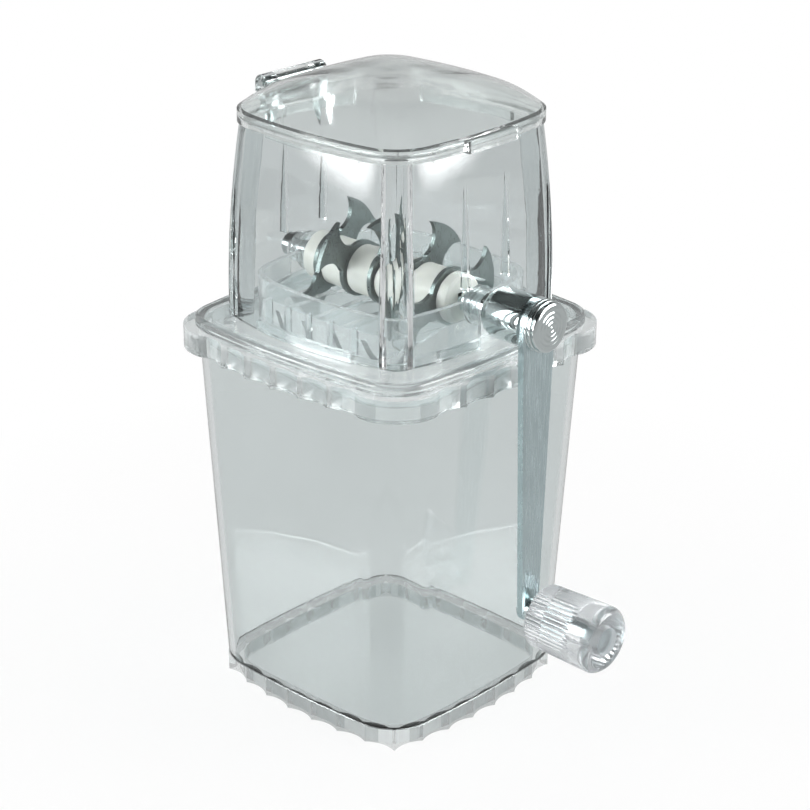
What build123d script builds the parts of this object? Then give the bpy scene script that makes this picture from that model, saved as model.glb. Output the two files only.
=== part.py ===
from build123d import *
import os
from math import asin, cos, radians, sin, sqrt

os.makedirs("parts", exist_ok=True)

# Hand-cranked ice crusher in clear plastic. The origin is the middle of the foot
# on the table, +Z is up and +X points along the cutter shaft towards the crank.

# ---- Driving dimensions, in mm -------------------------------------------------

# container
container_height = 151.2
container_foot_half = 52.3      # half width at the table, in the middle of a side
container_flare = 6.47          # how far the wall leans out between table and rim
container_bulge = 2.8           # how far a side bows out beyond its corners
container_corner = 19.0
container_wall = 2.2
floor_thickness = 3.2

# scalloped foot
foot_height = 9.2
foot_scallops = 7               # concave flutes on each side
foot_inset = 0.7                # ridges inside the container's line, in the middle of a side
foot_cusp_bulge = 5.6
foot_flute_depth = 1.9
foot_wall = 5.0

# hopper frame: fluted skirt, top plate, collar and funnel
skirt_drop = 8.7                # how far the skirt hangs over the container
skirt_wall = 3.28               # left behind a flute, in the middle of a side
skirt_bulge = 6.6
skirt_end_inset = 16.6          # last ridge of a side, short of the bowed square's corner
skirt_flutes = 6                # flutes on each side, between its outer ridges
skirt_flute_depth = 2.2
skirt_lobe_inset = 8.6          # tip of a corner lobe, short of the ridges in mid side
plate_inset = 4.5               # top plate's edge inside the skirt's ridges
plate_bulge = 5.0
plate_corner = 14.0
plate_thickness = 4.0
plate_edge_round = 1.6
lift_clearance = 0.35           # all round, between parts that lift off each other
seat_gap = 0.3                  # left between faces that rest on each other
spigot_depth = 5.0
spigot_wall = 2.0
collar_inset = 9.0              # collar's outside to the hood's outside
collar_bulge = 4.6
collar_corner = 17.0
collar_wall = 2.2
collar_over_shaft = 2.2         # collar's upper edge above the shaft axis
collar_rib_count = 5            # stiffening ribs outside the collar, on each side of the shaft
collar_rib_pitch = 11.0
collar_rib_thickness = 1.6
collar_rib_reach = 2.0
collar_rib_height = 11.0
funnel_height = 9.0             # how far the funnel climbs inside the collar
throat_inset_x = 5.2            # throat's edges inside the collar's outside
throat_inset_y = 14.7
throat_corner = 5.0
funnel_lip = 0.6                # left of the wall's thickness at the funnel's mouth
locating_rib_height = 3.0
locating_rib_wall = 1.8
locating_rib_half_length = 24.0
breaker_thickness = 2.6
breaker_rise = 5.0              # above the top plate, beside the drums
breaker_root = 10.5             # how far a rib runs into the funnel at each end
breaker_drum_gap = 2.4

# hood
hood_height = 75.4
hood_wall = 2.4
plate_ledge = 8.9               # top plate's edge to the hood
hood_base_bulge = 7.0
hood_base_corner = 7.0
hood_waist_height = 37.5        # above the bottom edge of the hood
hood_waist_lean = 1.2           # how far the wall leans in between foot and waist
hood_waist_bulge = 6.4
hood_waist_corner = 8.5
hood_top_lean = 4.9             # and between foot and top
hood_top_bulge = 5.0
hood_top_corner = 12.0
pillar_radius = 5.0             # thick round moulding inside each corner
pillar_inset = 0.35
guide_rib_offset = 11.0         # ribs on the wall, either side of each bearing
guide_rib_thickness = 1.3
guide_rib_depth = 4.5
guide_rib_top_inset = 5.4       # upper end below the hood's top
guide_rib_lift = 9.5            # lower end above the shaft axis

# lid
lid_overhang = 1.6              # lid's rim outside the hood's top
lid_bulge = 4.5
lid_corner = 19.4
lid_wall = 2.0
lid_rim_height = 4.6
lid_ledge = 1.6                 # thickness of the flat ledge inside the rim's lower edge
lid_rim_groove = 0.7            # width and depth of the groove round the rim
lid_groove_height = 2.5         # groove above the lid's lower edge
lid_crown = 12.1                # crown of the dome above the rim
dome_fullness = 4.2             # higher keeps the dome flat further out
dome_shoulder = 1.1
register_depth = 3.0
register_wall = 1.8
register_clearance = 0.6        # leaves room for the lips to swing out of the hood
register_half_length = 23.0
lid_tab_half_width = 13.5
lid_tab_reach = 2.6
hinge_offset = 4.6              # hinge axis outside the lid's rim
hinge_rise = 6.5                # hinge axis above the lid's lower edge
hinge_barrel_radius = 3.3
hinge_half_length = 16.0
hinge_knuckle_half = 10.0
hinge_side_gap = 0.4
hinge_pin_radius = 1.3
hinge_running_gap = 0.06
hinge_pin_overhang = 0.6
hinge_lug_drop = 13.0           # how far down the hood's wall a lug reaches
hinge_lug_bite = 1.2            # how deep a lug runs into the hood's wall

# cutter shaft and what it carries
shaft_rise = 14.3               # shaft axis above the top plate
cutter_count = 5
cutter_thickness = 1.9
cutter_side_gap = 2.9           # cutter's tip to the throat's edge
cutter_hub_radius = 11.0
cutter_arm_half_angle = 27.0
cutter_notch_radius = 7.9
cutter_notch_reach = 14.6       # along the arm, from the shaft axis
cutter_notch_side = 12.1        # across the arm
cutter_angles = (46.0, 145.0, 92.0, 54.0, 10.0)
drum_radius = 9.6
drum_edge_chamfer = 1.0
front_drum_length = 6.0
rear_drum_length = 8.0
drive_square = 6.4
fit_clearance = 0.06            # between a bore and what is fixed in it
journal_radius = 3.0
front_journal_radius = 4.0
shaft_collar_radius = 4.7
shaft_collar_length = 1.6
shaft_collar_gap = 2.6          # bare neck between the front drum and the collar
bush_inset = 1.95               # bush's inner end inside the collar's outside
bush_radius = 6.0
bush_clearance = 0.12
bush_flange_radius = 7.6
bush_flange_thickness = 1.5
running_clearance = 0.05
end_gap = 0.3                   # between parts that turn past each other, end on
rear_cap_radius = 4.6
rear_cap_length = 6.0
rear_cap_bore_depth = 3.0
rear_cap_chamfer = 1.2

# crank
boss_radius = 9.9
boss_length = 19.2
boss_neck_radius = 7.2
boss_bell_length = 3.2
boss_bell_chamfer = 1.2
shaft_depth_in_boss = 14.0
arm_thickness = 3.2
arm_length = 116.2              # from the shaft axis to the knob axis
arm_top_half_width = 8.9
arm_foot_half_width = 4.7
arm_edge_round = 0.7
cap_length = 5.2
cap_edge = 0.9
cap_groove_place = 1.6          # groove round the cap's side, above the arm
cap_groove = 0.8                # width and depth of that groove
cap_face_rings = ((7.1, 6.0), (4.2, 2.9))   # outer and inner radius of each sunk ring
cap_face_ring_depth = 0.4
cap_stud_radius = 3.0
cap_stud_length = 7.0

# knob
knob_length = 31.5
knob_inner_radius = 12.5
knob_outer_radius = 13.3
knob_rib_count = 48
knob_rib_depth = 0.45
knob_rib_length = 20.5
knob_edge_round = 0.8
knob_dome_round = 4.0
knob_cap_radius = 8.6
knob_cap_thickness = 2.4
knob_cap_chamfer = 0.6
spindle_radius = 3.0
spindle_head_radius = 5.2
spindle_head_length = 2.2
ferrule_length = 5.8
ferrule_small_radius = 4.6
ferrule_large_radius = 7.4
ferrule_neck_length = 1.7
ferrule_lip_length = 1.5
rivet_head_radius = 4.4
rivet_head_length = 1.3
rivet_head_chamfer = 0.7


# ---- Levels and places that follow from them -----------------------------------

rim_half = container_foot_half + container_flare
skirt_cusp_half = rim_half + lift_clearance + skirt_wall + skirt_flute_depth
plate_half = skirt_cusp_half - plate_inset
hood_base_half = plate_half - plate_ledge
hood_waist_half = hood_base_half - hood_waist_lean
hood_top_half = hood_base_half - hood_top_lean
collar_half = hood_base_half - collar_inset
throat_half_x = collar_half - throat_inset_x
throat_half_y = collar_half - throat_inset_y
lid_half = hood_top_half + lid_overhang

plate_underside = container_height + seat_gap
plate_top = plate_underside + plate_thickness
skirt_foot = plate_underside - skirt_drop
hood_foot = plate_top + seat_gap
hood_top = hood_foot + hood_height
lid_foot = hood_top + seat_gap
lid_rim_top = lid_foot + lid_rim_height
shaft_height = plate_top + shaft_rise
collar_top = shaft_height + collar_over_shaft

bush_hole_radius = bush_radius + bush_clearance
bush_start = collar_half - bush_inset
shaft_collar_start = bush_start - end_gap - shaft_collar_length
stack_front = shaft_collar_start - shaft_collar_gap
last_cutter = stack_front - front_drum_length - cutter_thickness / 2
cutter_pitch = 2 * last_cutter / (cutter_count - 1)
cutter_places = [cutter_pitch * i - last_cutter for i in range(cutter_count)]
stack_rear = cutter_places[0] - cutter_thickness / 2 - rear_drum_length
cutter_radius = throat_half_y - cutter_side_gap
bush_end = hood_base_half - end_gap
boss_start = hood_base_half + end_gap
boss_end = boss_start + boss_length
arm_front = boss_end + arm_thickness
knob_height = shaft_height - arm_length
knob_start = arm_front + ferrule_length + end_gap
knob_end = knob_start + knob_length


# ---- Outlines -------------------------------------------------------------------

def soft_square(height, half_width, bulge, corner_radius):
    """Level face: a square whose sides bow outwards, with rounded corners."""
    corner = half_width - bulge
    with BuildSketch(Plane.XY.offset(height)) as outline:
        with BuildLine():
            ThreePointArc((corner, -corner), (half_width, 0), (corner, corner))
            ThreePointArc((corner, corner), (0, half_width), (-corner, corner))
            ThreePointArc((-corner, corner), (-half_width, 0), (-corner, -corner))
            ThreePointArc((-corner, -corner), (0, -half_width), (corner, -corner))
        make_face()
        fillet(outline.vertices(), corner_radius)
    return outline.sketch


def corner_reach(half_width, bulge, corner_radius):
    """How far a soft square's rounded corner reaches along X and along Y."""
    corner = half_width - bulge
    side_radius = (corner**2 + bulge**2) / (2 * bulge)
    half_angle = radians(45) + asin(corner / side_radius)
    return corner - corner_radius * (1 / sin(half_angle) - 1) / sqrt(2)


def fluted_square(height, half_width, bulge, cusps, depth, lobe_reach):
    """Level face: ridges on a bowed square, hollow flutes between them.

    cusps are the ridges' places along a side. Where lobe_reach is given, the last
    ridge of one side and the first of the next are joined by a round corner lobe.
    """
    corner = half_width - bulge
    ridges = [Vector(half_width - bulge * (y / corner) ** 2, y) for y in cusps]
    with BuildSketch(Plane.XY.offset(height)) as outline:
        with BuildLine():
            for side in range(4):
                turned = [ridge.rotate(Axis.Z, 90 * side) for ridge in ridges]
                inward = Vector(-depth, 0).rotate(Axis.Z, 90 * side)
                for start, end in zip(turned, turned[1:]):
                    ThreePointArc(start, (start + end) * 0.5 + inward, end)
                if lobe_reach:
                    tip = Vector(lobe_reach, lobe_reach).rotate(Axis.Z, 90 * side)
                    ThreePointArc(turned[-1], tip, ridges[0].rotate(Axis.Z, 90 * side + 90))
        make_face()
    return outline.sketch


def container_half(height):
    """Half width of the container's outside at a height above the table."""
    return container_foot_half + container_flare * height / container_height


def container_outline(height, outward):
    """The container's outside at a height, moved outwards by the given amount."""
    return soft_square(
        height, container_half(height) + outward, container_bulge, container_corner + outward
    )


def shaft_plane(place):
    """Plane square to the shaft axis: its X is the world's Y and its Y the world's Z."""
    return Plane((place, 0, shaft_height), x_dir=(0, 1, 0), z_dir=(1, 0, 0))


def turning_plane(place, height):
    """Upright plane through a turned piece: X is the radius, Y runs along the world's X."""
    return Plane((place, 0, height), x_dir=(0, 1, 0), z_dir=(0, 0, -1))


def hood_outline(level, inward):
    """The hood's outside at one of its three levels, moved inwards by the given amount."""
    height, half_width, bulge, corner = hood_sections[level]
    return soft_square(height, half_width - inward, bulge, corner - inward)


hood_sections = [
    (hood_foot, hood_base_half, hood_base_bulge, hood_base_corner),
    (hood_foot + hood_waist_height, hood_waist_half, hood_waist_bulge, hood_waist_corner),
    (hood_top, hood_top_half, hood_top_bulge, hood_top_corner),
]
hinge_x = -lid_half - hinge_offset
hinge_z = lid_foot + hinge_rise


# ---- Container ------------------------------------------------------------------

floor_top = foot_height + seat_gap
foot_cusp_half = container_foot_half - foot_inset
foot_corner = foot_cusp_half - foot_cusp_bulge
foot_cusps = [foot_corner * (2 * i / foot_scallops - 1) for i in range(foot_scallops + 1)]

with BuildPart() as container:
    loft([container_outline(foot_height, 0), container_outline(container_height, 0)])
    add(fluted_square(0, foot_cusp_half, foot_cusp_bulge, foot_cusps, foot_flute_depth, None))
    extrude(amount=foot_height)
    loft(
        [
            container_outline(floor_top, -container_wall),
            container_outline(container_height, -container_wall),
        ],
        mode=Mode.SUBTRACT,
    )
    add(soft_square(0, foot_cusp_half - foot_wall, container_bulge, container_corner - foot_wall))
    extrude(amount=floor_top - floor_thickness, mode=Mode.SUBTRACT)
container.part.label = "container"
export_step(container.part, "parts/container.step")


# ---- Hopper frame ---------------------------------------------------------------

skirt_edge = skirt_cusp_half - skirt_bulge - skirt_end_inset
skirt_cusps = [skirt_edge * (2 * i / skirt_flutes - 1) for i in range(skirt_flutes + 1)]
funnel_top = plate_top + funnel_height
breaker_places = [place + cutter_pitch / 2 for place in cutter_places[:-1]]
breaker_half_length = throat_half_y + breaker_root


def collar_outline(height, inward):
    """The collar's outside at a height, moved inwards by the given amount."""
    return soft_square(height, collar_half - inward, collar_bulge, collar_corner - inward)


def throat_outline(height):
    """The opening in the top plate that the crushed ice falls through."""
    with BuildSketch(Plane.XY.offset(height)) as throat:
        RectangleRounded(2 * throat_half_x, 2 * throat_half_y, throat_corner)
    return throat.sketch


with BuildPart() as hopper_frame:
    # fluted skirt round the container's rim
    add(
        fluted_square(
            skirt_foot, skirt_cusp_half, skirt_bulge, skirt_cusps, skirt_flute_depth,
            skirt_cusp_half - skirt_lobe_inset,
        )
    )
    extrude(amount=skirt_drop)
    # top plate, with its upper edge rounded
    add(soft_square(plate_underside, plate_half, plate_bulge, plate_corner))
    extrude(amount=plate_thickness)
    fillet(hopper_frame.edges().group_by(Axis.Z)[-1], plate_edge_round)
    # straight pocket that the container's rim goes into
    pocket_half = rim_half + lift_clearance
    pocket_corner = container_corner + lift_clearance
    add(soft_square(skirt_foot, pocket_half, container_bulge, pocket_corner))
    extrude(amount=skirt_drop, mode=Mode.SUBTRACT)
    # spigot that centres the frame in the container's mouth
    spigot_out = -container_wall - lift_clearance
    with BuildSketch(Plane.XY.offset(plate_underside)) as spigot:
        add(container_outline(plate_underside - spigot_depth, spigot_out))
        add(
            container_outline(plate_underside - spigot_depth, spigot_out - spigot_wall),
            mode=Mode.SUBTRACT,
        )
    extrude(amount=-spigot_depth)
    # collar and the solid that the funnel is cut from
    add(collar_outline(plate_top, 0))
    extrude(amount=collar_top - plate_top)
    add(collar_outline(funnel_top, collar_wall))
    extrude(amount=collar_top - funnel_top, mode=Mode.SUBTRACT)
    loft(
        [throat_outline(plate_underside), collar_outline(funnel_top, collar_wall + funnel_lip)],
        mode=Mode.SUBTRACT,
    )
    # stiffening ribs up the collar, on both sides of the shaft
    for side in (-1, 1):
        rib_middle = collar_half + (collar_rib_reach - collar_wall) / 2
        with BuildSketch(Plane.XY.offset(plate_top)) as collar_ribs:
            with Locations((0, side * rib_middle)):
                with GridLocations(collar_rib_pitch, 0, collar_rib_count, 1):
                    Rectangle(collar_rib_thickness, collar_rib_reach + collar_wall)
        extrude(amount=collar_rib_height)
    # fixed breaker ribs that the cutters pass between
    for place in breaker_places:
        with BuildSketch(shaft_plane(place - breaker_thickness / 2)) as breaker:
            rib_height = plate_thickness + breaker_rise
            with Locations((0, plate_underside + rib_height / 2 - shaft_height)):
                Rectangle(2 * breaker_half_length, rib_height)
            Circle(drum_radius + breaker_drum_gap, mode=Mode.SUBTRACT)
        extrude(amount=breaker_thickness)
    # bearing notches, open upwards, in both ends of the collar
    with BuildSketch(shaft_plane(-collar_half)) as notch:
        Circle(bush_hole_radius)
        with Locations((0, bush_hole_radius)):
            Rectangle(2 * bush_hole_radius, 2 * bush_hole_radius)
    extrude(amount=2 * collar_half, mode=Mode.SUBTRACT)
    # low ribs that keep the hood in place
    rib_outside = hood_wall + lift_clearance
    with BuildSketch(Plane.XY.offset(plate_top)) as locating_ribs:
        add(hood_outline(0, rib_outside))
        add(hood_outline(0, rib_outside + locating_rib_wall), mode=Mode.SUBTRACT)
        with GridLocations(4 * locating_rib_half_length, 4 * locating_rib_half_length, 2, 2):
            Rectangle(
                2 * locating_rib_half_length, 2 * locating_rib_half_length, mode=Mode.SUBTRACT
            )
    extrude(amount=locating_rib_height)
hopper_frame.part.label = "hopper_frame"
export_step(hopper_frame.part, "parts/hopper_frame.step")


# ---- Hood -----------------------------------------------------------------------

def pillar_centre(level):
    """Place along X and Y of a corner pillar, just inside the hood's outer corner."""
    height, half_width, bulge, corner = hood_sections[level]
    return corner_reach(half_width, bulge, corner) - (pillar_radius + pillar_inset) / sqrt(2)


def pillar_ring(level, turn_x, turn_y):
    """Section of a corner pillar at one of the hood's levels."""
    place = pillar_centre(level)
    with BuildSketch(Plane.XY.offset(hood_sections[level][0])) as ring:
        with Locations((turn_x * place, turn_y * place)):
            Circle(pillar_radius)
    return ring.sketch


with BuildPart() as hood:
    loft([hood_outline(level, 0) for level in range(len(hood_sections))])
    loft(
        [hood_outline(level, hood_wall) for level in range(len(hood_sections))],
        mode=Mode.SUBTRACT,
    )
    # round corner pillars
    for turn_x, turn_y in ((1, 1), (-1, 1), (-1, -1), (1, -1)):
        loft(
            [pillar_ring(level, turn_x, turn_y) for level in range(len(hood_sections))],
            ruled=True,
        )
    # upright ribs on the wall, either side of each bearing
    rib_top = hood_top - guide_rib_top_inset
    rib_foot = shaft_height + guide_rib_lift
    for side in (-1, 1):
        for offset_y in (-guide_rib_offset, guide_rib_offset):
            rib_plane = Plane.XZ.offset(-offset_y - guide_rib_thickness / 2)
            with BuildSketch(rib_plane) as guide_rib:
                with BuildLine():
                    Polyline(
                        (side * (hood_top_half - hood_wall / 2), rib_top),
                        (side * (hood_waist_half - hood_wall / 2), hood_foot + hood_waist_height),
                        (side * (hood_base_half - hood_wall / 2), rib_foot),
                        (side * (hood_base_half - hood_wall - guide_rib_depth), rib_foot),
                        close=True,
                    )
                make_face()
            extrude(amount=guide_rib_thickness)
    # slots, open downwards, that drop over the bushes
    with BuildSketch(shaft_plane(-hood_base_half - lift_clearance)) as slot:
        Circle(bush_radius + lift_clearance)
        with Locations((0, (hood_foot - shaft_height) / 2)):
            Rectangle(2 * (bush_radius + lift_clearance), shaft_height - hood_foot)
    extrude(amount=2 * (hood_base_half + lift_clearance), mode=Mode.SUBTRACT)
    # hinge lugs at the back edge
    for side in (-1, 1):
        lug_start = hinge_knuckle_half + hinge_side_gap
        lug_length = hinge_half_length - lug_start
        lug_plane = Plane.XZ.offset(-side * (lug_start + lug_length / 2))
        with BuildSketch(lug_plane) as lug:
            with BuildLine():
                Polyline(
                    (hinge_x - hinge_barrel_radius, hinge_z),
                    (hinge_x - hinge_barrel_radius, hinge_z - hinge_barrel_radius),
                    (-hood_top_half, hood_top - hinge_lug_drop),
                    (-hood_top_half + hinge_lug_bite, hood_top),
                    (hinge_x + hinge_barrel_radius, hood_top),
                    (hinge_x + hinge_barrel_radius, hinge_z),
                    close=True,
                )
            make_face()
            with Locations((hinge_x, hinge_z)):
                Circle(hinge_barrel_radius)
                Circle(hinge_pin_radius, mode=Mode.SUBTRACT)
        extrude(amount=lug_length / 2, both=True)
hood.part.label = "hood"
export_step(hood.part, "parts/hood.step")


# ---- Lid ------------------------------------------------------------------------

def lid_outline(height, inward):
    """The lid's rim at a height, moved inwards by the given amount."""
    return soft_square(height, lid_half - inward, lid_bulge, lid_corner - inward)


def dome_sections(inward):
    """Outlines of the dome: it shrinks towards the middle as it climbs to the crown."""
    sections = []
    for share in (1.0, 0.95, 0.85, 0.7, 0.5, 0.3, 0.12):
        climb = (lid_crown - inward) * (1 - share**dome_fullness) ** dome_shoulder
        half_width = (lid_half - inward) * share
        corner = (lid_corner - inward) * share
        sections.append(soft_square(lid_rim_top + climb, half_width, lid_bulge * share, corner))
    return sections


with BuildPart() as lid:
    add(lid_outline(lid_foot, 0))
    extrude(amount=lid_rim_height)
    loft(dome_sections(0))
    # hollow inside
    loft(dome_sections(lid_wall), mode=Mode.SUBTRACT)
    add(lid_outline(lid_foot + lid_ledge, lid_wall))
    extrude(amount=lid_rim_height - lid_ledge, mode=Mode.SUBTRACT)
    lips_inside = hood_wall + register_clearance + register_wall
    with BuildSketch(Plane.XY.offset(lid_foot)) as mouth:
        add(hood_outline(2, lips_inside))
    extrude(amount=lid_ledge, mode=Mode.SUBTRACT)
    # register lips that drop into the hood's mouth, clear of its corner pillars
    with BuildSketch(Plane.XY.offset(lid_foot - register_depth)) as register:
        add(hood_outline(2, lips_inside - register_wall))
        add(hood_outline(2, lips_inside), mode=Mode.SUBTRACT)
        with GridLocations(4 * register_half_length, 4 * register_half_length, 2, 2):
            Rectangle(2 * register_half_length, 2 * register_half_length, mode=Mode.SUBTRACT)
    extrude(amount=register_depth + lid_ledge)
    # groove round the rim
    with BuildSketch(Plane.XY.offset(lid_foot + lid_groove_height)) as groove:
        add(lid_outline(lid_foot, -lid_rim_groove))
        add(lid_outline(lid_foot, lid_rim_groove), mode=Mode.SUBTRACT)
    extrude(amount=lid_rim_groove, mode=Mode.SUBTRACT)
    # thumb tab over the crank side
    with BuildSketch(Plane.XY.offset(lid_foot)) as tab:
        with Locations((lid_half - lid_wall / 2 + lid_tab_reach / 2, 0)):
            RectangleRounded(lid_tab_reach + lid_wall, 2 * lid_tab_half_width, lid_wall / 2)
    extrude(amount=lid_rim_height)
    # hinge knuckle and the arm that carries it
    with BuildSketch(Plane.XZ) as knuckle:
        with BuildLine():
            Polyline(
                (hinge_x, hinge_z + hinge_barrel_radius),
                (-lid_half + lid_wall / 2, lid_rim_top),
                (-lid_half + lid_wall / 2, lid_foot + lid_rim_groove),
                (hinge_x, hinge_z - hinge_barrel_radius),
                close=True,
            )
        make_face()
        with Locations((hinge_x, hinge_z)):
            Circle(hinge_barrel_radius)
            Circle(hinge_pin_radius + hinge_running_gap, mode=Mode.SUBTRACT)
    extrude(amount=hinge_knuckle_half, both=True)
lid.part.label = "lid"
export_step(lid.part, "parts/lid.step")

with BuildPart() as hinge_pin:
    with BuildSketch(Plane.XZ) as pin_round:
        with Locations((hinge_x, hinge_z)):
            Circle(hinge_pin_radius)
    extrude(amount=hinge_half_length + hinge_pin_overhang, both=True)
hinge_pin.part.label = "hinge_pin"
export_step(hinge_pin.part, "parts/hinge_pin.step")


# ---- Cutter shaft, cutters and drums ---------------------------------------------

def straight_bar(start, end, radius):
    """Round bar along the shaft axis, joined to the part being built."""
    with BuildSketch(shaft_plane(start)) as section:
        Circle(radius)
    return extrude(section.sketch, amount=end - start)


with BuildPart() as cutter_shaft:
    straight_bar(-bush_end - end_gap - rear_cap_bore_depth, stack_rear, journal_radius)
    with BuildSketch(shaft_plane(stack_rear)):
        Rectangle(drive_square, drive_square)
    extrude(amount=stack_front - stack_rear)
    straight_bar(stack_front, shaft_collar_start, journal_radius)
    straight_bar(shaft_collar_start, bush_start - end_gap, shaft_collar_radius)
    straight_bar(bush_start - end_gap, boss_start + shaft_depth_in_boss, front_journal_radius)
cutter_shaft.part.label = "cutter_shaft"
export_step(cutter_shaft.part, "parts/cutter_shaft.step")


def make_cutter(place, angle):
    """Stamped two-ended cutter: round blank, its sides notched, each end left as two horns."""
    blade_plane = Plane(
        (place - cutter_thickness / 2, 0, shaft_height),
        x_dir=(0, cos(radians(angle)), sin(radians(angle))),
        z_dir=(1, 0, 0),
    )
    horn_x = cutter_radius * cos(radians(cutter_arm_half_angle))
    horn_y = cutter_radius * sin(radians(cutter_arm_half_angle))
    with BuildPart() as cutter:
        with BuildSketch(blade_plane):
            with BuildLine():
                Line((0, 0), (horn_x, -horn_y))
                ThreePointArc((horn_x, -horn_y), (cutter_radius, 0), (horn_x, horn_y))
                Line((horn_x, horn_y), (0, 0))
            make_face()
            mirror(about=Plane.YZ)
            Circle(cutter_hub_radius)
            with GridLocations(2 * cutter_notch_reach, 2 * cutter_notch_side, 2, 2):
                Circle(cutter_notch_radius, mode=Mode.SUBTRACT)
            Rectangle(square_hole, square_hole, rotation=-angle, mode=Mode.SUBTRACT)
        extrude(amount=cutter_thickness)
    return cutter.part


def make_drum(start, end):
    """Moulded spacer drum with broken rims and the shaft's square bore."""
    with BuildPart() as drum:
        with BuildSketch(shaft_plane(start)):
            Circle(drum_radius)
        extrude(amount=end - start)
        chamfer(drum.edges(), drum_edge_chamfer)
        with BuildSketch(shaft_plane(start)):
            Rectangle(square_hole, square_hole)
        extrude(amount=end - start, mode=Mode.SUBTRACT)
    return drum.part


square_hole = drive_square + 2 * fit_clearance
for number, (place, angle) in enumerate(zip(cutter_places, cutter_angles), start=1):
    cutter_part = make_cutter(place, angle)
    cutter_part.label = f"cutter_{number}"
    export_step(cutter_part, f"parts/cutter_{number}.step")

drum_starts = [stack_rear] + [place + cutter_thickness / 2 for place in cutter_places]
drum_ends = [place - cutter_thickness / 2 for place in cutter_places] + [stack_front]
for number, (start, end) in enumerate(zip(drum_starts, drum_ends), start=1):
    drum_part = make_drum(start, end)
    drum_part.label = f"spacer_drum_{number}"
    export_step(drum_part, f"parts/spacer_drum_{number}.step")


# ---- Bushes and rear cap ---------------------------------------------------------

def make_bush(side, journal):
    """Flanged bush at one end of the shaft: side is 1 towards the crank and -1 at the back."""
    inner_end, outer_end = sorted((side * bush_start, side * bush_end))
    flange = sorted((side * flange_seat, side * (flange_seat + bush_flange_thickness)))
    with BuildPart() as bush:
        straight_bar(inner_end, outer_end, bush_radius)
        straight_bar(*flange, bush_flange_radius)
        with BuildSketch(shaft_plane(inner_end)):
            Circle(journal + running_clearance)
        extrude(amount=outer_end - inner_end, mode=Mode.SUBTRACT)
    return bush.part


flange_seat = collar_half + end_gap
for name, side, journal in (
    ("front_bush", 1, front_journal_radius),
    ("rear_bush", -1, journal_radius),
):
    bush_part = make_bush(side, journal)
    bush_part.label = name
    export_step(bush_part, f"parts/{name}.step")

with BuildPart() as rear_cap:
    rear_cap_start = -bush_end - end_gap
    straight_bar(rear_cap_start - rear_cap_length, rear_cap_start, rear_cap_radius)
    chamfer(rear_cap.edges().sort_by(Axis.X)[0], rear_cap_chamfer)
    with BuildSketch(shaft_plane(rear_cap_start - rear_cap_bore_depth)):
        Circle(journal_radius + fit_clearance)
    extrude(amount=rear_cap_bore_depth, mode=Mode.SUBTRACT)
rear_cap.part.label = "rear_cap"
export_step(rear_cap.part, "parts/rear_cap.step")


# ---- Crank ----------------------------------------------------------------------

def turned(points, plane):
    """Solid of revolution about the plane's Y axis: points are (radius, length) pairs."""
    with BuildPart() as body:
        with BuildSketch(plane):
            with BuildLine():
                Polyline(*points, close=True)
            make_face()
        revolve(axis=Axis(plane.origin, plane.y_dir))
    return body.part


with BuildPart() as crank_boss:
    add(
        turned(
            [
                (0, 0),
                (boss_neck_radius, 0),
                (boss_radius, boss_bell_length),
                (boss_radius, boss_length),
                (0, boss_length),
            ],
            turning_plane(boss_start, shaft_height),
        )
    )
    chamfer(
        crank_boss.edges().filter_by(GeomType.CIRCLE).sort_by(Axis.X)[1],
        boss_bell_chamfer,
    )
    with BuildSketch(shaft_plane(boss_start)):
        Circle(front_journal_radius + fit_clearance)
    extrude(amount=shaft_depth_in_boss + end_gap, mode=Mode.SUBTRACT)
    with BuildSketch(shaft_plane(boss_end)):
        Circle(cap_stud_radius + fit_clearance)
    extrude(amount=-(cap_stud_length - arm_thickness + end_gap), mode=Mode.SUBTRACT)
crank_boss.part.label = "crank_boss"
export_step(crank_boss.part, "parts/crank_boss.step")

with BuildPart() as crank_arm:
    with BuildSketch(shaft_plane(boss_end)):
        Circle(arm_top_half_width)
        with Locations((0, -arm_length)):
            Circle(arm_foot_half_width)
        make_hull()
        Circle(cap_stud_radius + fit_clearance, mode=Mode.SUBTRACT)
        with Locations((0, -arm_length)):
            Circle(spindle_radius + fit_clearance, mode=Mode.SUBTRACT)
    extrude(amount=arm_thickness)
    chamfer(crank_arm.faces().sort_by(Axis.X)[-1].outer_wire().edges(), arm_edge_round)
crank_arm.part.label = "crank_arm"
export_step(crank_arm.part, "parts/crank_arm.step")

def cap_profile():
    """Half section of the screw cap: stud, grooved side and a face with sunk rings."""
    groove_end = cap_groove_place + cap_groove
    points = [
        (0, -cap_stud_length),
        (cap_stud_radius, -cap_stud_length),
        (cap_stud_radius, 0),
        (boss_radius, 0),
        (boss_radius, cap_groove_place),
        (boss_radius - cap_groove, cap_groove_place),
        (boss_radius - cap_groove, groove_end),
        (boss_radius, groove_end),
        (boss_radius, cap_length - cap_edge),
        (boss_radius - cap_edge, cap_length),
    ]
    for outer, inner in cap_face_rings:
        points += [
            (outer, cap_length),
            (outer, cap_length - cap_face_ring_depth),
            (inner, cap_length - cap_face_ring_depth),
            (inner, cap_length),
        ]
    return points + [(0, cap_length)]


with BuildPart() as crank_cap:
    add(turned(cap_profile(), turning_plane(arm_front, shaft_height)))
crank_cap.part.label = "crank_cap"
export_step(crank_cap.part, "parts/crank_cap.step")


# ---- Knob and its spindle ---------------------------------------------------------

head_seat = knob_length - knob_cap_thickness - 2 * spindle_head_length
spindle_head = ferrule_length + end_gap + head_seat + end_gap

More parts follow.
